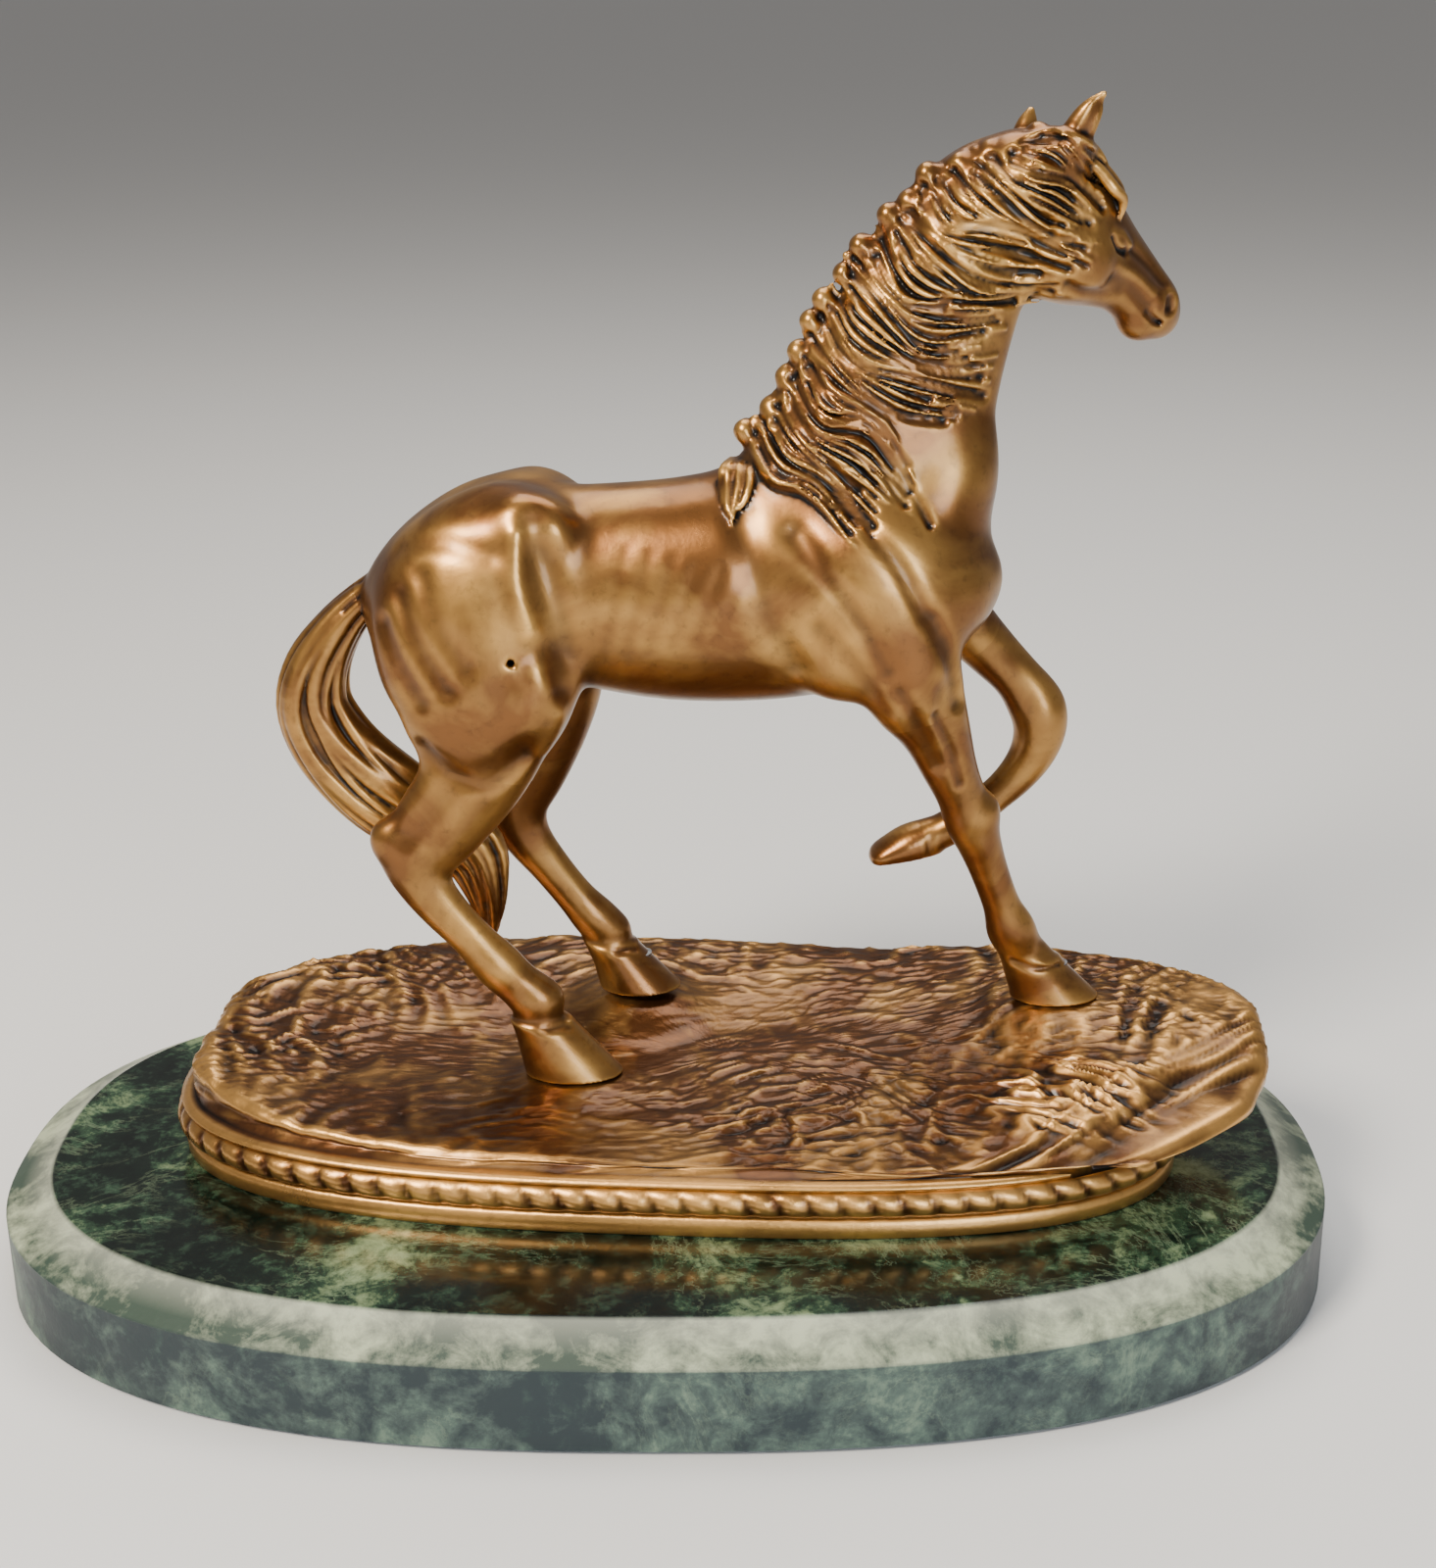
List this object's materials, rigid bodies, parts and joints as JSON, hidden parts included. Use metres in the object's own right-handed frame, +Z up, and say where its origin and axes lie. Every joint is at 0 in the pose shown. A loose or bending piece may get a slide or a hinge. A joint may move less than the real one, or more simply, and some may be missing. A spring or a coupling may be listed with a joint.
{
  "type": "horse statuette",
  "caption": "Cast metal statuette of a walking horse with one foreleg raised, on a carved metal ground bolted to an oval stone plinth.",
  "frame": {"origin": "centre of the underside of the felt pad", "axes": "+X along the plinth's length towards the horse's head, +Y towards the horse's left side, +Z up"},
  "size_m": [0.3048, 0.1778, 0.2614],
  "materials": {
    "horse_bronze": "lacquered brown bronze patina, rubbed golden on the high points",
    "ground_bronze": "lacquered reddish brown bronze patina with dark recesses",
    "dowel_bronze": "bare drawn rod",
    "marble": "polished top, honed bevel and side",
    "felt": "short wool felt",
    "steel": "zinc plated"
  },
  "bodies": {
    "root": {"felt_pad": "felt", "marble_plinth": "marble", "tie_bolts": "steel", "tie_washers": "steel", "ground_casting": "ground_bronze", "hoof_studs": "steel", "hoof_washers": "steel", "hoof_nuts": "steel", "torso_casting": "horse_bronze", "neck_and_head": "horse_bronze", "right_foreleg": "horse_bronze", "left_foreleg": "horse_bronze", "right_hind_leg": "horse_bronze", "left_hind_leg": "horse_bronze", "tail_casting": "horse_bronze", "neck_dowels": "dowel_bronze", "foreleg_dowels": "dowel_bronze", "hindleg_dowels": "dowel_bronze", "tail_dowel": "dowel_bronze"}
  },
  "joints": []
}
